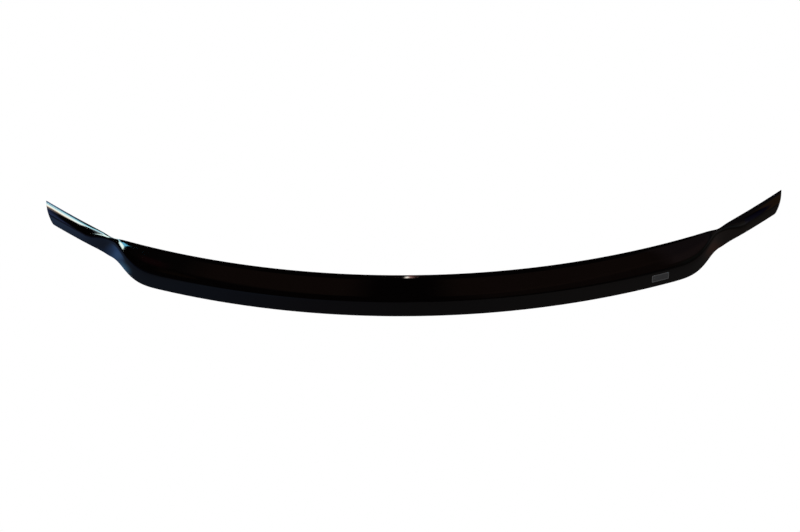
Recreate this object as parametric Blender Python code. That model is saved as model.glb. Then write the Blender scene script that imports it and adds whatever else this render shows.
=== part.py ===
"""Hood bug deflector: a thermoformed acrylic shield with foam tape and rubber bumpers on its rear.

X runs across the vehicle, the front faces -Y and Z is up. The shield stands on the lower edge of
its front, and the origin is the centre of its footprint at that height. All sizes are in metres.
"""
import math

import bmesh
import bpy
from mathutils import Matrix, Vector

# Sheet
THICKNESS = 0.003
EDGE_ROUNDING = 0.0007
EDGE_SEGMENTS = 2
BEVEL_ANGLE = math.radians(50)

# Top edge in plan, for the right half: the front, the corner and the tail
FRONT_RADIUS = 1.412
FRONT_LENGTH = 0.5804
CORNER_LENGTH = 0.026
CORNER_HEADING = math.radians(36.0)
NOTCH_OFFSET = 0.020
TAIL_LENGTH = 0.1812
TAIL_HEADING = math.radians(39.7)

# Top edge in height, above where the lower edge of the front stands
NOTCH_DEPTH = 0.0035
NOTCH_HALF_WIDTH = 0.016
TAIL_RISE = 0.002

# Where the crease between blade and flange runs up to the top edge
CREASE_RISE = 0.121
TAIL_BLEND = 0.060

# Section across the front, with slopes measured from the horizontal
LIP_LENGTH = 0.009
LIP_SHARE = 0.3
LIP_TURN = math.radians(14)
BLADE_LENGTH = 0.0518
BLADE_SLOPE = math.radians(57)
BLADE_CROWN = math.radians(6)
FLANGE_LENGTH = 0.0300
FLANGE_SLOPE = math.radians(82)
CREASE_WIDTH = 0.022
LEAST_FLAT = 0.001

# Section at the notch
NOTCH_BLADE_LENGTH = 0.0063
NOTCH_FLANGE_LENGTH = 0.0364
NOTCH_FLANGE_SLOPE = math.radians(79.7)
NOTCH_CREASE_WIDTH = 0.010

# Section across the tail
TAIL_BLADE_LENGTH = 0.016
TAIL_BLADE_SLOPE = math.radians(42)
TAIL_FLANGE_LENGTH = 0.0222
TAIL_FLANGE_SLOPE = math.radians(76)
TAIL_CREASE_WIDTH = 0.026

# Tip of the tail
TIP_RAKE = 0.032
TIP_RADIUS = 0.005

# Lofting steps
FRONT_STEP = FRONT_LENGTH / 24
FRONT_STEPS = 20
CORNER_STEPS = 22
CORNER_OVERRUN = 0.020
TAIL_STEPS = 11
LIP_ROWS = 3
BLADE_ROWS = 4
CREASE_ROWS = 6
FLANGE_ROWS = (0.40, 0.70, 0.88, 0.97, 1.0)

# Mounting tape on the rear of the flange and of the tails
GLUE_GAP = 0.0003
TAPE_THICKNESS = 0.0012
TAPE_WIDTH = 0.012
TAPE_DISTANCE = 0.0635
TAPE_FIRST_STEP = 1
TAPE_STEPS = 5
TAPE_PITCH_STEPS = 7
TAIL_TAPE_DISTANCE = 0.018
TAIL_TAPE_MARGIN = 0.0532
TAIL_TAPE_LENGTH = 0.072
TAIL_TAPE_ROWS = 3

# Rubber bumpers on the rear of the blade
BUMPER_RADIUS = 0.0065
BUMPER_TOP_RADIUS = 0.0048
BUMPER_HEIGHT = 0.006
BUMPER_ROUNDING = 0.0012
BUMPER_SIDES = 24
BUMPER_DISTANCE = 0.026
BUMPER_STEPS = (4.5, 11.5, 18.5)

NOTCH_STATION = FRONT_LENGTH + NOTCH_OFFSET
CORNER_END = NOTCH_STATION + CORNER_OVERRUN
TIP_STATION = NOTCH_STATION + TAIL_LENGTH
TAIL_TAPE_START = TIP_STATION - TAIL_TAPE_MARGIN - TAIL_TAPE_LENGTH


def walk(legs, distance):
    """Point and heading at a distance along a chain of arcs, each leg a length and two headings."""
    x = 0.0
    y = 0.0
    last = len(legs) - 1
    for i, (length, start, end) in enumerate(legs):
        step = distance if i == last or distance < length else length
        heading = start + (end - start) * step / length
        half = (heading - start) / 2
        chord = step if abs(half) < 1e-9 else step * math.sin(half) / half
        x += chord * math.cos(start + half)
        y += chord * math.sin(start + half)
        distance -= step
        if distance <= 0:
            break
    return x, y, heading


def ease(value):
    """Smooth step from 0 to 1."""
    t = min(max(value, 0.0), 1.0)
    return t * t * (3 - 2 * t)


def blend(station, front, notch, tail):
    """A section size at a station along the top edge."""
    risen = min(max((station - NOTCH_STATION + CREASE_RISE) / CREASE_RISE, 0.0), 1.0)
    to_notch = ease(risen ** 2)
    to_tail = ease((station - NOTCH_STATION) / TAIL_BLEND)
    at_notch = front + (notch - front) * to_notch
    return at_notch + (tail - at_notch) * to_tail


PLAN = (
    (FRONT_LENGTH, 0.0, FRONT_LENGTH / FRONT_RADIUS),
    (CORNER_LENGTH, FRONT_LENGTH / FRONT_RADIUS, CORNER_HEADING),
    (TIP_STATION - FRONT_LENGTH - CORNER_LENGTH, CORNER_HEADING, TAIL_HEADING),
)


def section(station):
    """The sheet's section from the top edge down: lip, blade, crease and flange."""
    blade = blend(station, BLADE_LENGTH, NOTCH_BLADE_LENGTH, TAIL_BLADE_LENGTH)
    flange = blend(station, FLANGE_LENGTH, NOTCH_FLANGE_LENGTH, TAIL_FLANGE_LENGTH)
    crown = blend(station, BLADE_CROWN, 0.0, 0.0)
    upper = blend(station, BLADE_SLOPE, BLADE_SLOPE, TAIL_BLADE_SLOPE) - crown / 2
    lower = blend(station, FLANGE_SLOPE, NOTCH_FLANGE_SLOPE, TAIL_FLANGE_SLOPE)
    crease = blend(station, CREASE_WIDTH, NOTCH_CREASE_WIDTH, TAIL_CREASE_WIDTH)
    lip = min(LIP_LENGTH, LIP_SHARE * blade)
    middle = max(blade - crease / 2, lip + LEAST_FLAT) - lip
    bend = blade + crease / 2 - lip - middle
    rest = flange - crease / 2
    return (
        (lip, upper - LIP_TURN, upper),
        (middle, upper, upper + crown),
        (bend, upper + crown, lower),
        (rest, lower, lower),
    )


def width_at(station):
    """Distance round the section from the top edge to the lower edge."""
    return sum(leg[0] for leg in section(station))


def top_height(station):
    """Height of the top edge."""
    past = station - NOTCH_STATION
    notch = NOTCH_DEPTH * math.exp(-((past / NOTCH_HALF_WIDTH) ** 2))
    return TOP_HEIGHT - notch + TAIL_RISE * max(past, 0.0) / TAIL_LENGTH


def sheet_point(station, distance, depth=0.0):
    """Point on the right half at a distance below the top edge and a depth behind the outer face."""
    x, y, heading = walk(PLAN, station)
    out, down, slope = walk(section(station), distance)
    out -= depth * math.sin(slope)
    down += depth * math.cos(slope)
    z = top_height(station) - down
    return Vector((x + out * math.sin(heading), y - out * math.cos(heading), z))


def rear_normal(station, distance):
    """Direction away from the rear face."""
    heading = walk(PLAN, station)[2]
    slope = walk(section(station), distance)[2]
    flat = math.sin(slope)
    return Vector((-flat * math.sin(heading), flat * math.cos(heading), -math.cos(slope)))


TOP_HEIGHT = walk(section(0.0), width_at(0.0))[1] + THICKNESS * math.cos(FLANGE_SLOPE)
FRONT_Y = sheet_point(0.0, width_at(0.0)).y
REAR_Y = sheet_point(TIP_STATION, 0.0, THICKNESS).y
CENTRE = Vector((0.0, (FRONT_Y + REAR_Y) / 2, 0.0))


def material(name, colour, roughness, ior):
    """Principled material of a non-metal."""
    mat = bpy.data.materials.new(name)
    mat.use_nodes = True
    shader = mat.node_tree.nodes["Principled BSDF"]
    shader.inputs["Base Color"].default_value = (*colour, 1.0)
    shader.inputs["Roughness"].default_value = roughness
    shader.inputs["Metallic"].default_value = 0.0
    shader.inputs["IOR"].default_value = ior
    return mat


def make_object(bm, name, mat, mirrored=False):
    """Object from a right-hand mesh, mirrored across the centre plane where asked."""
    bmesh.ops.translate(bm, verts=bm.verts, vec=-CENTRE)
    if mirrored:
        bmesh.ops.scale(bm, verts=bm.verts, vec=(-1, 1, 1))
        bmesh.ops.reverse_faces(bm, faces=bm.faces)
    mesh = bpy.data.meshes.new(name)
    bm.to_mesh(mesh)
    bm.free()
    mesh.materials.append(mat)
    obj = bpy.data.objects.new(name, mesh)
    bpy.context.scene.collection.objects.link(obj)
    return obj


def stations():
    """Places along the top edge where the sheet's section is drawn."""
    places = [i * FRONT_STEP for i in range(FRONT_STEPS + 1)]
    start = places[-1]
    places += [start + (CORNER_END - start) * i / CORNER_STEPS for i in range(1, CORNER_STEPS + 1)]
    places += [CORNER_END + (TIP_STATION - CORNER_END) * i / TAIL_STEPS for i in range(1, TAIL_STEPS + 1)]
    return places


def row_distances(station):
    """Distances below the top edge where the section has a point."""
    lip, middle, bend, rest = (leg[0] for leg in section(station))
    rows = [lip * i / LIP_ROWS for i in range(LIP_ROWS + 1)]
    rows += [lip + middle * i / BLADE_ROWS for i in range(1, BLADE_ROWS + 1)]
    rows += [lip + middle + bend * i / CREASE_ROWS for i in range(1, CREASE_ROWS + 1)]
    rows += [lip + middle + bend + rest * part for part in FLANGE_ROWS]
    return rows


def row_end(row):
    """Station where a row stops at the tail's raked tip with its rounded lower corner."""
    distance = row_distances(TIP_STATION)[row]
    width = width_at(TIP_STATION)
    end = TIP_STATION - TIP_RAKE * distance / width
    above = max(width - distance, 0.0)
    if above < TIP_RADIUS:
        end -= TIP_RADIUS - math.sqrt(TIP_RADIUS ** 2 - (TIP_RADIUS - above) ** 2)
    return end


def build_shield(mat):
    """Acrylic sheet: the outer face is lofted through its sections, thickened and its edges rounded."""
    bm = bmesh.new()
    ends = [row_end(row) for row in range(len(row_distances(TIP_STATION)))]
    ribs = []
    for station in stations():
        rib = []
        for row, end in enumerate(ends):
            past = max(station - NOTCH_STATION, 0.0)
            place = min(station, NOTCH_STATION) + past * (end - NOTCH_STATION) / TAIL_LENGTH
            rib.append(bm.verts.new(sheet_point(place, row_distances(place)[row])))
        ribs.append(rib)
    for near, far in zip(ribs, ribs[1:]):
        for row in range(len(near) - 1):
            bm.faces.new((near[row], near[row + 1], far[row + 1], far[row]))
    shield = make_object(bm, "shield", mat)
    mirror = shield.modifiers.new("both halves", "MIRROR")
    mirror.merge_threshold = 0.0001
    solid = shield.modifiers.new("sheet thickness", "SOLIDIFY")
    solid.thickness = THICKNESS
    solid.offset = -1
    solid.use_even_offset = True
    solid.use_quality_normals = True
    bevel = shield.modifiers.new("polished edges", "BEVEL")
    bevel.limit_method = "ANGLE"
    bevel.angle_limit = BEVEL_ANGLE
    bevel.width = EDGE_ROUNDING
    bevel.segments = EDGE_SEGMENTS
    return shield


def build_tape(name, mat, places, distances, mirrored):
    """Strip of foam tape that follows the sheet's rear face at the given stations and distances."""
    bm = bmesh.new()
    front = THICKNESS + GLUE_GAP
    back = front + TAPE_THICKNESS
    loops = []
    for place in places:
        points = [sheet_point(place, d, front) for d in distances]
        points += [sheet_point(place, d, back) for d in reversed(distances)]
        verts = [bm.verts.new(p) for p in points]
        loops.append([bm.edges.new((a, b)) for a, b in zip(verts, verts[1:] + verts[:1])])
    for near, far in zip(loops, loops[1:]):
        bmesh.ops.bridge_loops(bm, edges=near + far)
    bmesh.ops.holes_fill(bm, edges=loops[0] + loops[-1], sides=0)
    bmesh.ops.recalc_face_normals(bm, faces=bm.faces)
    return make_object(bm, name, mat, mirrored)


def build_bumper(name, mat, station, mirrored):
    """Round rubber bumper on the rear of the blade, with a rounded free end."""
    bm = bmesh.new()
    bmesh.ops.create_cone(
        bm,
        cap_ends=True,
        segments=BUMPER_SIDES,
        radius1=BUMPER_RADIUS,
        radius2=BUMPER_TOP_RADIUS,
        depth=BUMPER_HEIGHT,
    )
    rim = [e for e in bm.edges if all(v.co.z > 0 for v in e.verts)]
    bmesh.ops.bevel(
        bm,
        geom=rim,
        offset=BUMPER_ROUNDING,
        segments=2,
        profile=0.5,
        affect="EDGES",
        clamp_overlap=True,
        material=-1,
    )
    away = rear_normal(station, BUMPER_DISTANCE)
    foot = sheet_point(station, BUMPER_DISTANCE, THICKNESS + GLUE_GAP)
    turn = away.to_track_quat("Z", "X").to_matrix().to_4x4()
    place = Matrix.Translation(foot + away * (BUMPER_HEIGHT / 2)) @ turn
    bmesh.ops.transform(bm, matrix=place, verts=bm.verts)
    return make_object(bm, name, mat, mirrored)


def main():
    for obj in list(bpy.data.objects):
        bpy.data.objects.remove(obj, do_unlink=True)
    acrylic = material("shield_acrylic", (0.008, 0.006, 0.005), 0.06, 1.49)
    foam = material("tape_foam", (0.025, 0.025, 0.027), 0.85, 1.45)
    rubber = material("bumper_rubber", (0.018, 0.018, 0.018), 0.60, 1.52)
    build_shield(acrylic)
    flat_rows = (TAPE_DISTANCE, TAPE_DISTANCE + TAPE_WIDTH)
    tail_rows = [TAIL_TAPE_DISTANCE + TAPE_WIDTH * i / TAIL_TAPE_ROWS for i in range(TAIL_TAPE_ROWS + 1)]
    tail_places = [TAIL_TAPE_START + TAIL_TAPE_LENGTH * i / TAPE_STEPS for i in range(TAPE_STEPS + 1)]
    for side, mirrored in (("right", False), ("left", True)):
        for i, place in enumerate(("inner", "middle", "outer")):
            first = TAPE_FIRST_STEP + i * TAPE_PITCH_STEPS
            places = [(first + step) * FRONT_STEP for step in range(TAPE_STEPS + 1)]
            build_tape(f"tape_{side}_{place}", foam, places, flat_rows, mirrored)
            build_bumper(f"bumper_{side}_{place}", rubber, BUMPER_STEPS[i] * FRONT_STEP, mirrored)
        build_tape(f"tape_{side}_tail", foam, tail_places, tail_rows, mirrored)


main()
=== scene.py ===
"""Studio scene of a hood bug deflector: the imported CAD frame, dressed with its real finishes."""

import math

import bmesh
import bpy
from mathutils import Matrix, Vector


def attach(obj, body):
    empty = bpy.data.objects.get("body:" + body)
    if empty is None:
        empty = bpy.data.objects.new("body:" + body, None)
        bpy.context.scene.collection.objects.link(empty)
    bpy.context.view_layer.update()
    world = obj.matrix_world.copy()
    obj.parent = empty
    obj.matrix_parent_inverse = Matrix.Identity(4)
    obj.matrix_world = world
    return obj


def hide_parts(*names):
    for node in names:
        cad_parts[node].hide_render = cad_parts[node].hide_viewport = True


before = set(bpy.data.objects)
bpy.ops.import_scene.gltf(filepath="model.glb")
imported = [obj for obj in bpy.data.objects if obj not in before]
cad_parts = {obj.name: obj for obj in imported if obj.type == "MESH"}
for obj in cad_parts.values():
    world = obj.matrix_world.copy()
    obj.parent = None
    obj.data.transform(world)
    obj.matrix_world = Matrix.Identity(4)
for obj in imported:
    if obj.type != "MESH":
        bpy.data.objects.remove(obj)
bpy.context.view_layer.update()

# The shield
# One sheet of dark smoke acrylic, thermoformed over a mould into a blade, a flange and two tails.
# Its cut edges are flame polished. The sheet keeps a high gloss, with a faint wave from the mould.
SMOOTH_ANGLE = math.radians(32)
MERGE_DISTANCE = 0.00001
TINT_DEEP = "020101"
TINT_THIN = "030202"
TINT_PATCH = 0.120
HAZE_PATCH = 0.030
POLISH = (0.035, 0.075)
POLISH_DRIFT = (0.35, 0.70)
MOULD_WAVE = 0.070
MOULD_WAVE_DEPTH = 0.000012
ACRYLIC_IOR = 1.49


def linear(code):
    """Linear colour of an sRGB hex code."""
    parts = [int(code[i : i + 2], 16) / 255 for i in (0, 2, 4)]
    return tuple(p / 12.92 if p <= 0.04045 else ((p + 0.055) / 1.055) ** 2.4 for p in parts) + (1.0,)


def add(tree, kind, values=None, links=None, **fields):
    """Adds a node with its fields, the values of its sockets and the sockets that feed it."""
    made = tree.nodes.new(kind)
    for field, value in fields.items():
        setattr(made, field, value)
    for socket, value in (values or {}).items():
        made.inputs[socket].default_value = value
    for socket, source in (links or {}).items():
        tree.links.new(source, made.inputs[socket])
    return made


def start_finish(name, roughness, ior):
    """New finish with its node tree, its shader and the Object coordinates it reads."""
    finish = bpy.data.materials.new(name)
    finish.use_nodes = True
    tree = finish.node_tree
    shader = tree.nodes["Principled BSDF"]
    shader.inputs["Roughness"].default_value = roughness
    shader.inputs["IOR"].default_value = ior
    return finish, tree, shader, add(tree, "ShaderNodeTexCoord").outputs["Object"]


def merged_skin(node_name, name, finish):
    """Smooth copy of a CAD node, its loose triangles merged, that stands for the node."""
    bm = bmesh.new()
    bm.from_mesh(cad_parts[node_name].data)
    bmesh.ops.remove_doubles(bm, verts=bm.verts, dist=MERGE_DISTANCE)
    for face in bm.faces:
        face.smooth = True
    for edge in bm.edges:
        edge.smooth = edge.calc_face_angle(0.0) < SMOOTH_ANGLE
    mesh = bpy.data.meshes.new(name)
    bm.to_mesh(mesh)
    bm.free()
    mesh.materials.append(finish)
    piece = bpy.data.objects.new(name, mesh)
    bpy.context.scene.collection.objects.link(piece)
    even = piece.modifiers.new("even shading", "WEIGHTED_NORMAL")
    even.keep_sharp = True
    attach(piece, "root")
    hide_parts(node_name)
    return piece


# Cast acrylic, dark smoke and thermoformed. It is almost black, mirrors the room in a clear
# reflection, and its tint and polish drift a little where the sheet was stretched.
acrylic, tree, shader, place = start_finish("cast_acrylic_smoke", POLISH[0], ACRYLIC_IOR)
tint = add(
    tree,
    "ShaderNodeTexNoise",
    {"Scale": 1 / TINT_PATCH, "Detail": 2.0, "Roughness": 0.4},
    {"Vector": place},
)
stain = add(
    tree,
    "ShaderNodeMix",
    {"A": linear(TINT_DEEP), "B": linear(TINT_THIN)},
    {"Factor": tint.outputs["Fac"]},
    data_type="RGBA",
)
tree.links.new(stain.outputs["Result"], shader.inputs["Base Color"])
haze = add(
    tree,
    "ShaderNodeTexNoise",
    {"Scale": 1 / HAZE_PATCH, "Detail": 4.0, "Roughness": 0.55},
    {"Vector": place},
)
polish = add(
    tree,
    "ShaderNodeMapRange",
    {
        "From Min": POLISH_DRIFT[0],
        "From Max": POLISH_DRIFT[1],
        "To Min": POLISH[0],
        "To Max": POLISH[1],
    },
    {"Value": haze.outputs["Fac"]},
)
tree.links.new(polish.outputs["Result"], shader.inputs["Roughness"])
wave = add(
    tree,
    "ShaderNodeTexNoise",
    {"Scale": 1 / MOULD_WAVE, "Detail": 1.0, "Roughness": 0.3},
    {"Vector": place},
)
relief = add(
    tree,
    "ShaderNodeBump",
    {"Strength": 1.0, "Distance": MOULD_WAVE_DEPTH},
    {"Height": wave.outputs["Fac"]},
)
tree.links.new(relief.outputs["Normal"], shader.inputs["Normal"])
shield = merged_skin("shield", "acrylic_shield", acrylic)

# The print
# A small patch of grey ink, screen printed on the outer face of the flange near its right end. It
# is plain, with a thin paler border, and looks flat beside the gloss round it.
PRINT_PLACE = (0.4617, -0.0584, 0.0186)
PRINT_SIZE = (0.0355, 0.0150)
PRINT_TURN = math.radians(18.8)
PRINT_LEAN = math.radians(82)
PRINT_CORNER = 0.0012
PRINT_CORNER_STEPS = 3
PRINT_GRID = (16, 8)
INK_THICKNESS = 0.00006
INK_UNEVEN = 0.004
INK_ROUGHNESS = 0.55
INK_IOR = 1.50
INK_PATCH = ("282829", "363637")
INK_BORDER = ("424243", "525253")
BORDER_WIDTH = 0.0015

bm = bmesh.new()
bmesh.ops.create_grid(bm, x_segments=PRINT_GRID[0], y_segments=PRINT_GRID[1], size=0.5)
bmesh.ops.scale(bm, verts=bm.verts, vec=(*PRINT_SIZE, 1.0))
corners = [v for v in bm.verts if len(v.link_edges) == 2]
bmesh.ops.bevel(
    bm,
    geom=corners,
    offset=PRINT_CORNER,
    segments=PRINT_CORNER_STEPS,
    profile=0.5,
    affect="VERTICES",
    material=-1,
)
border = bmesh.ops.inset_region(
    bm, faces=bm.faces, thickness=BORDER_WIDTH, use_boundary=True, use_even_offset=True
)
for face in border["faces"]:
    face.material_index = 1
stand = Matrix.Rotation(PRINT_TURN, 4, "Z") @ Matrix.Rotation(PRINT_LEAN, 4, "X")
bmesh.ops.transform(bm, matrix=Matrix.Translation(PRINT_PLACE) @ stand, verts=bm.verts)
mesh = bpy.data.meshes.new("flange_print")
bm.to_mesh(mesh)
bm.free()
flange_print = bpy.data.objects.new("flange_print", mesh)
bpy.context.scene.collection.objects.link(flange_print)
lay = flange_print.modifiers.new("laid on the sheet", "SHRINKWRAP")
lay.target = shield
lay.wrap_method = "NEAREST_SURFACEPOINT"
lay.wrap_mode = "ABOVE_SURFACE"
lay.offset = INK_THICKNESS
film = flange_print.modifiers.new("ink film", "SOLIDIFY")
film.thickness = INK_THICKNESS
film.offset = -1

# Screen-printed vinyl ink. It is matt, and the mesh of the screen leaves it slightly uneven. That
# mesh is too fine to show, so the unevenness is drawn 4 mm across.
for name, tones in (("screen_ink_grey", INK_PATCH), ("screen_ink_pale_grey", INK_BORDER)):
    ink, tree, shader, place = start_finish(name, INK_ROUGHNESS, INK_IOR)
    screen = add(
        tree,
        "ShaderNodeTexNoise",
        {"Scale": 1 / INK_UNEVEN, "Detail": 3.0, "Roughness": 0.6},
        {"Vector": place},
    )
    tone = add(
        tree,
        "ShaderNodeMix",
        {"A": linear(tones[0]), "B": linear(tones[1])},
        {"Factor": screen.outputs["Fac"]},
        data_type="RGBA",
    )
    tree.links.new(tone.outputs["Result"], shader.inputs["Base Color"])
    mesh.materials.append(ink)
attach(flange_print, "root")

# The mounting tape
# Eight strips of charcoal acrylic foam tape, 12 mm wide, pressed on the rear of the flange and tails.
# They are die cut from a roll, so their cut sides show the closed cells of the foam.
FOAM_DARK = "232325"
FOAM_LIGHT = "333335"
FOAM_CELL = 0.0006
FOAM_RELIEF = 0.00008
FOAM_ROUGHNESS = 0.85
FOAM_IOR = 1.45

# Closed-cell acrylic foam. It is matt and lightly speckled by its cells, which are really about
# 0.2 mm wide and are drawn three times as wide, so that they show.
foam, tree, shader, place = start_finish("acrylic_foam_tape", FOAM_ROUGHNESS, FOAM_IOR)
cells = add(
    tree,
    "ShaderNodeTexVoronoi",
    {"Scale": 1 / FOAM_CELL},
    {"Vector": place},
)
tone = add(
    tree,
    "ShaderNodeMix",
    {"A": linear(FOAM_DARK), "B": linear(FOAM_LIGHT)},
    {"Factor": cells.outputs["Distance"]},
    data_type="RGBA",
)
tree.links.new(tone.outputs["Result"], shader.inputs["Base Color"])
relief = add(
    tree,
    "ShaderNodeBump",
    {"Strength": 0.8, "Distance": FOAM_RELIEF},
    {"Height": cells.outputs["Distance"]},
)
tree.links.new(relief.outputs["Normal"], shader.inputs["Normal"])
tapes = sorted(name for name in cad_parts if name.startswith("tape_"))
for name in tapes:
    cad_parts[name].data.materials.clear()
    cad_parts[name].data.materials.append(foam)

# The release liners
# A red polyethylene film covers the free face of each tape strip until the shield is fitted.
# It is a tenth of a millimetre thick, peels off, and shows faint crinkles from the roll.
LINER_THICKNESS = 0.0001
LINER_LIFT = 0.00005
LINER_RED = "a51a15"
# The deeper red is painted shade, laid in the hollows of the crinkles.
LINER_HOLLOW_SHADE = "861110"
CRINKLE = 0.006
CRINKLE_RELIEF = 0.00006
LINER_ROUGHNESS = 0.32
LINER_IOR = 1.51
# The free face is the largest that looks rearward, with what turns the same way at its rounded ends.
REARWARD = 0.3
SAME_WAY = 0.8

# Blown polyethylene film. It has a satin sheen, which the crinkles break up, and painted shade, a
# deeper red, in their hollows.
liner_film, tree, shader, place = start_finish("polyethylene_liner_red", LINER_ROUGHNESS, LINER_IOR)
crinkles = add(
    tree,
    "ShaderNodeTexNoise",
    {"Scale": 1 / CRINKLE, "Detail": 3.0, "Roughness": 0.5, "Distortion": 0.6},
    {"Vector": place},
)
# Painted shade: the hollows of the crinkles turn deeper red.
tone = add(
    tree,
    "ShaderNodeMix",
    {"A": linear(LINER_HOLLOW_SHADE), "B": linear(LINER_RED)},
    {"Factor": crinkles.outputs["Fac"]},
    data_type="RGBA",
)
tree.links.new(tone.outputs["Result"], shader.inputs["Base Color"])
relief = add(
    tree,
    "ShaderNodeBump",
    {"Strength": 0.6, "Distance": CRINKLE_RELIEF},
    {"Height": crinkles.outputs["Fac"]},
)
tree.links.new(relief.outputs["Normal"], shader.inputs["Normal"])
for name in tapes:
    bm = bmesh.new()
    bm.from_mesh(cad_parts[name].data)
    bmesh.ops.remove_doubles(bm, verts=bm.verts, dist=MERGE_DISTANCE)
    bm.normal_update()
    largest = max(bm.faces, key=lambda f: f.calc_area() if f.normal.y > REARWARD else 0.0)
    away = largest.normal.copy()
    others = [f for f in bm.faces if f.normal.dot(away) < SAME_WAY]
    bmesh.ops.delete(bm, geom=others, context="FACES")
    bm.normal_update()
    for vert in bm.verts:
        vert.co += vert.normal * (LINER_LIFT + LINER_THICKNESS)
    for face in bm.faces:
        face.smooth = True
    mesh = bpy.data.meshes.new(name.replace("tape", "liner"))
    bm.to_mesh(mesh)
    bm.free()
    mesh.materials.append(liner_film)
    liner = bpy.data.objects.new(mesh.name, mesh)
    bpy.context.scene.collection.objects.link(liner)
    film = liner.modifiers.new("film thickness", "SOLIDIFY")
    film.thickness = LINER_THICKNESS
    film.offset = -1
    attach(liner, "root")

# The bumpers
# Six round rubber pads, 13 mm across, stuck on the rear of the blade to keep it off the paint.
# They are moulded from black rubber, and their adhesive holds them flat on the sheet.
RUBBER_DARK = "161616"
RUBBER_LIGHT = "212121"
RUBBER_GRAIN = 0.0008
RUBBER_RELIEF = 0.00003
RUBBER_ROUGHNESS = 0.58
RUBBER_IOR = 1.52

# Moulded rubber, black with carbon. It has a soft sheen and a fine grain, really about 0.2 mm wide,
# which is drawn four times as wide, so that it shows.
rubber, tree, shader, place = start_finish("moulded_rubber_black", RUBBER_ROUGHNESS, RUBBER_IOR)
grain = add(
    tree,
    "ShaderNodeTexNoise",
    {"Scale": 1 / RUBBER_GRAIN, "Detail": 2.0, "Roughness": 0.5},
    {"Vector": place},
)
tone = add(
    tree,
    "ShaderNodeMix",
    {"A": linear(RUBBER_DARK), "B": linear(RUBBER_LIGHT)},
    {"Factor": grain.outputs["Fac"]},
    data_type="RGBA",
)
tree.links.new(tone.outputs["Result"], shader.inputs["Base Color"])
relief = add(
    tree,
    "ShaderNodeBump",
    {"Strength": 0.7, "Distance": RUBBER_RELIEF},
    {"Height": grain.outputs["Fac"]},
)
tree.links.new(relief.outputs["Normal"], shader.inputs["Normal"])
for name in sorted(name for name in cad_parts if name.startswith("bumper_")):
    merged_skin(name, name.replace("bumper", "rubber_bumper"), rubber)

# The floor
# A plain white studio sweep. It glows plain white to the camera, so it shows no shadow. In the gloss of
# the shield it shows a painted reflection instead: far darker, fading away from the shield, cool under
# the left tail and warm under the right, with painted pools of light.
FLOOR_SIZE = 24.0
FLOOR_SEGMENTS = 4
FLOOR_WHITE = (1.0, 1.0, 1.0, 1.0)
FLOOR_BOUNCE = (0.62, 0.62, 0.63, 1.0)
FLOOR_SPAN = (-0.70, 0.40)
FLOOR_FADE = (0.55, 0.95)
# Places along that span, from its left end to its right one, and the painted reflection tone the gloss
# shows there.
FLOOR_MIRRORED = (
    (0.0, (0.080, 0.095, 0.135, 1.0)),
    (0.16, (0.085, 0.114, 0.174, 1.0)),
    (0.28, (0.075, 0.096, 0.145, 1.0)),
    (0.42, (0.072, 0.074, 0.094, 1.0)),
    (0.64, (0.073, 0.072, 0.074, 1.0)),
    (1.0, (0.100, 0.092, 0.088, 1.0)),
)
# Painted pools of light on the floor that only the gloss shows, each with its centre, reach and tone.
FLOOR_GLOWS = (
    ((-1.00, 0.10, 0.0), 0.50, (0.23, 0.38, 0.75)),
    ((-0.685, 0.015, 0.0), 0.06, (0.12, 0.35, 0.95)),
    ((-0.64, 0.02, 0.0), 0.045, (0.24, 0.62, 1.40)),
    ((-0.59, 0.005, 0.0), 0.045, (0.45, 1.30, 2.30)),
    ((-2.50, -0.20, 0.0), 1.70, (0.17, 0.19, 0.40)),
    ((0.64, 0.01, 0.0), 0.06, (0.090, 0.015, 0.0)),
    ((0.75, -0.05, 0.0), 0.16, (0.045, 0.028, 0.025)),
    ((1.00, 0.10, 0.0), 0.50, (0.090, 0.078, 0.065)),
    ((2.60, -0.50, 0.0), 2.20, (0.120, 0.110, 0.100)),
)

bm = bmesh.new()
bmesh.ops.create_grid(
    bm, x_segments=FLOOR_SEGMENTS, y_segments=FLOOR_SEGMENTS, size=FLOOR_SIZE / 2
)
mesh = bpy.data.meshes.new("studio_floor")
bm.to_mesh(mesh)
bm.free()
studio_floor = bpy.data.objects.new("studio_floor", mesh)
bpy.context.scene.collection.objects.link(studio_floor)


def shown(tree, bounce, mirrored, seen):
    """Colour that a stage surface shows: one to the camera, one in gloss and one to soft light."""
    ray = add(tree, "ShaderNodeLightPath")
    lit = add(
        tree,
        "ShaderNodeMix",
        {"A": bounce},
        {"Factor": ray.outputs["Is Glossy Ray"], "B": mirrored},
        data_type="RGBA",
    )
    return add(
        tree,
        "ShaderNodeMix",
        {"B": seen},
        {"Factor": ray.outputs["Is Camera Ray"], "A": lit.outputs["Result"]},
        data_type="RGBA",
    ).outputs["Result"]


# Stands for matt white paint. It glows plain white to the camera and an even grey to soft light, and
# shows the painted reflection tones and painted pools of light to the gloss.
paint = bpy.data.materials.new("white_floor_with_painted_reflection")
paint.use_nodes = True
tree = paint.node_tree
tree.nodes.remove(tree.nodes["Principled BSDF"])
place = add(tree, "ShaderNodeTexCoord").outputs["Object"]
split = add(tree, "ShaderNodeSeparateXYZ", None, {"Vector": place})
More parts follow.
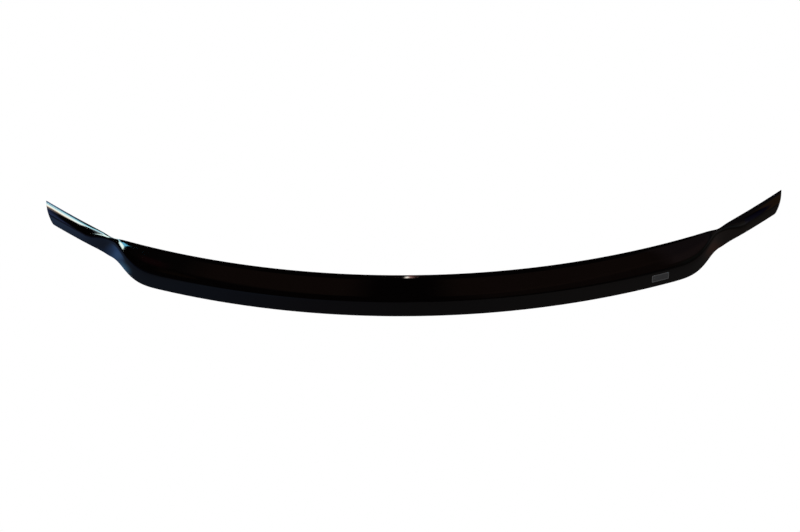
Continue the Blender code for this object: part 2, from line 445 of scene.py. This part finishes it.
# The painted reflection: a tone across the floor's width, fading with distance from the shield.
drift = add(
    tree,
    "ShaderNodeMapRange",
    {"From Min": FLOOR_SPAN[0], "From Max": FLOOR_SPAN[1]},
    {"Value": split.outputs["X"]},
)
tones = add(tree, "ShaderNodeValToRGB", None, {"Fac": drift.outputs["Result"]})
for stop in FLOOR_MIRRORED[1:-1]:
    tones.color_ramp.elements.new(stop[0])
for stop, (position, colour) in zip(tones.color_ramp.elements, FLOOR_MIRRORED):
    stop.position = position
    stop.color = colour
out = add(tree, "ShaderNodeVectorMath", None, {0: place}, operation="LENGTH")
near = add(
    tree,
    "ShaderNodeMapRange",
    {"From Min": FLOOR_FADE[1], "From Max": FLOOR_FADE[0]},
    {"Value": out.outputs["Value"]},
    interpolation_type="SMOOTHSTEP",
)
lit = add(
    tree,
    "ShaderNodeVectorMath",
    None,
    {0: tones.outputs["Color"], "Scale": near.outputs["Result"]},
    operation="SCALE",
).outputs["Vector"]
# The painted pools of light, added on top of the painted reflection.
for centre, reach, colour in FLOOR_GLOWS:
    away = add(tree, "ShaderNodeVectorMath", {1: centre}, {0: place}, operation="DISTANCE")
    near = add(
        tree,
        "ShaderNodeMapRange",
        {"From Min": reach, "From Max": 0.0},
        {"Value": away.outputs["Value"]},
        interpolation_type="SMOOTHSTEP",
    )
    part = add(
        tree,
        "ShaderNodeVectorMath",
        {0: colour},
        {"Scale": near.outputs["Result"]},
        operation="SCALE",
    )
    lit = add(
        tree, "ShaderNodeVectorMath", None, {0: lit, 1: part.outputs["Vector"]}, operation="ADD"
    ).outputs["Vector"]
glow = add(tree, "ShaderNodeEmission", None, {"Color": shown(tree, FLOOR_BOUNCE, lit, FLOOR_WHITE)})
tree.links.new(glow.outputs["Emission"], tree.nodes["Material Output"].inputs["Surface"])
mesh.materials.append(paint)

# The studio
# A plain white room. Only the gloss of the shield picks up its panels: dim brown ones in front, a
# bright window round the left corner, two small lamps, and faint warm and cool walls on the right.
ROOM_WHITE = (1.0, 1.0, 1.0, 1.0)
ROOM_FILL = (0.80, 0.80, 0.82, 1.0)
ROOM_DARK = (0.006, 0.004, 0.004)
WINDOW_CENTRE = (-95.8, -2.3, 0.0)
# All angles are in degrees. Each panel has a name, a measure of its sides (across from straight
# ahead, or out from the window's centre), its sides, its heights, how far the sides lean for each
# degree up and the heights for each degree across, the softness of both, and its light.
PANELS = (
    ("front left", "across", (-39, -9), (17, 31), (0, 0), (8.0, 1.5), (0.068, 0.038, 0.028)),
    ("front right", "across", (6, 46), (17, 31), (0, 0), (8.0, 1.5), (0.068, 0.038, 0.028)),
    ("front right low", "across", (10, 60), (2.0, 17.5), (0, 0), (10.0, 3.0), (0.046, 0.026, 0.020)),
    ("front right end", "across", (46, 62), (12, 36), (0, 0), (4.0, 3.0), (0.092, 0.066, 0.072)),
    ("front left end", "across", (-53, -39), (17, 36), (0, 0), (3.0, 3.0), (0.012, 0.010, 0.010)),
    ("front left patch", "across", (-50, -44), (16.5, 20.5), (0, 0), (3.0, 2.0), (0.052, 0.003, 0.008)),
    ("front left streak", "across", (-44.5, -38), (11.0, 15.5), (0, 0), (2.5, 2.5), (0.042, 0.022, 0.010)),
    ("window", "out", (37.2, 41.8), (660, 1020), (0, -10), (1.2, 10), (5.0, 12.0, 14.0)),
    ("window foot", "out", (37.2, 38.6), (660, 1020), (0, -10), (1.2, 10), (10.0, 7.0, 6.0)),
    ("window side", "out", (43.5, 64.2), (127.3, 141.5), (0.6, -1.9), (2.0, 2.0), (2.4, 9.5, 13.5)),
    ("window side foot", "out", (44.0, 52.5), (127.3, 141.5), (0.6, -1.9), (3.0, 2.0), (17.0, 14.0, 8.0)),
    ("window corner", "across", (-98, -81.8), (25.6, 30), (0, 0), (1.2, 1.2), (19.0, 21.0, 20.0)),
    ("window corner top", "across", (-98, -81.8), (30, 33.5), (0, 0), (1.2, 1.2), (12.5, 18.5, 19.0)),
    ("window frame", "across", (-98, -82.6), (24.2, 25.6), (0, 0), (1.2, 1.2), (17.0, 13.5, 10.0)),
    ("window sill", "across", (-98, -82.6), (18.5, 24.2), (0, 0), (1.2, 1.2), (1.6, 1.3, 1.2)),
    ("window curtain", "across", (-115, -98), (38, 46), (0, 0), (3.0, 3.0), (1.2, 2.0, 4.2)),
    ("left haze", "across", (-130, -77.5), (-12, 21), (0.3, 0), (2.5, 4.0), (0.29, 0.43, 1.07)),
    ("right wall", "across", (61, 80.5), (-8, 24), (0, 0), (3.0, 3.0), (0.045, 0.042, 0.050)),
    ("right wall top", "across", (61, 110), (24, 46), (0, 0), (3.0, 3.0), (0.045, 0.042, 0.048)),
    ("right low", "across", (48, 76), (-4, 10), (0, 0), (6.0, 4.0), (0.010, 0.034, 0.030)),
    ("right notch", "across", (66.5, 76.5), (-4, 17), (0, 0), (3.0, 4.0), (0.070, 0.050, 0.035)),
    ("right wall foot", "across", (60, 78), (-8, 7), (0, 0), (3.0, 3.0), (0.050, 0.045, 0.045)),
    ("right cool", "across", (73.5, 79.3), (0, 20), (-0.25, 0), (1.0, 3.0), (0.0, 0.003, 0.052)),
    ("right warm", "across", (80.3, 110), (-8, 25), (-0.15, 0), (1.0, 3.0), (0.180, 0.100, 0.045)),
    ("lamp", "across", (-0.95, -0.2), (41, 50), (0, 0), (0.2, 1.0), (24.0, 22.5, 20.0)),
    ("red lamp", "across", (-0.2, 0.65), (41, 58), (0, 0), (0.2, 1.0), (3.4, 0.8, 0.7)),
    ("rear left", "across", (-175, -135), (15, 60), (0, 0), (8.0, 8.0), (1.6, 1.6, 1.7)),
    ("rear right", "across", (135, 175), (15, 60), (0, 0), (8.0, 8.0), (1.6, 1.6, 1.7)),
)

world = bpy.data.worlds.new("studio")
bpy.context.scene.world = world
world.use_nodes = True
tree = world.node_tree
facing = add(
    tree,
    "ShaderNodeSeparateXYZ",
    None,
    {"Vector": add(tree, "ShaderNodeTexCoord").outputs["Generated"]},
)
ahead = add(
    tree, "ShaderNodeMath", {1: -1.0}, {0: facing.outputs["Y"]}, operation="MULTIPLY"
)
side = add(
    tree,
    "ShaderNodeMath",
    None,
    {0: facing.outputs["X"], 1: ahead.outputs["Value"]},
    operation="ARCTAN2",
)
rise = add(tree, "ShaderNodeMath", None, {0: facing.outputs["Z"]}, operation="ARCSINE")
side_degrees = add(tree, "ShaderNodeMath", None, {0: side.outputs["Value"]}, operation="DEGREES")
rise_degrees = add(tree, "ShaderNodeMath", None, {0: rise.outputs["Value"]}, operation="DEGREES")
across = side_degrees.outputs["Value"]
up = rise_degrees.outputs["Value"]
aim = add(tree, "ShaderNodeCombineXYZ", None, {"X": across, "Y": up})
away = add(
    tree, "ShaderNodeVectorMath", {1: WINDOW_CENTRE}, {0: aim.outputs["Vector"]}, operation="DISTANCE"
)
measures = {"across": across, "out": away.outputs["Value"]}
lit = add(tree, "ShaderNodeCombineXYZ", dict(zip("XYZ", ROOM_DARK))).outputs["Vector"]
for name, measure, sides, heights, leans, softness, colour in PANELS:
    share = None
    for angle, other, limits, lean, soft in (
        (measures[measure], up, sides, leans[0], softness[0]),
        (up, across, heights, leans[1], softness[1]),
    ):
        leant = add(
            tree, "ShaderNodeMath", {1: lean}, {0: other, 2: angle}, operation="MULTIPLY_ADD"
        )
        for edge, inward in ((limits[0], soft / 2), (limits[1], -soft / 2)):
            step = add(
                tree,
                "ShaderNodeMapRange",
                {"From Min": edge - inward, "From Max": edge + inward},
                {"Value": leant.outputs["Value"]},
                interpolation_type="SMOOTHSTEP",
                label=name,
            ).outputs["Result"]
            if share is not None:
                step = add(
                    tree, "ShaderNodeMath", None, {0: share, 1: step}, operation="MULTIPLY"
                ).outputs["Value"]
            share = step
    part = add(
        tree, "ShaderNodeVectorMath", {0: colour}, {"Scale": share}, operation="SCALE"
    ).outputs["Vector"]
    lit = add(
        tree, "ShaderNodeVectorMath", None, {0: lit, 1: part}, operation="ADD"
    ).outputs["Vector"]
tree.links.new(shown(tree, ROOM_FILL, lit, ROOM_WHITE), tree.nodes["Background"].inputs["Color"])

# The camera
# It looks down on the front of the shield from about forty degrees, a little left of the middle.
CAMERA_PLACE = Vector((-0.0545, -2.0150, 1.7400))
CAMERA_AIM = Vector((-0.0315, -0.0028, 0.0096))
CAMERA_ROLL = math.radians(-0.445)
CAMERA_LENS = 61.98
SENSOR_WIDTH = 36.0

camera = bpy.data.objects.new("camera", bpy.data.cameras.new("camera"))
bpy.context.scene.collection.objects.link(camera)
camera.data.lens = CAMERA_LENS
camera.data.sensor_width = SENSOR_WIDTH
turn = (CAMERA_AIM - CAMERA_PLACE).to_track_quat("-Z", "Y").to_matrix().to_4x4()
camera.matrix_world = (
    Matrix.Translation(CAMERA_PLACE) @ turn @ Matrix.Rotation(CAMERA_ROLL, 4, "Z")
)
bpy.context.scene.camera = camera
bpy.context.scene.view_settings.view_transform = "Standard"
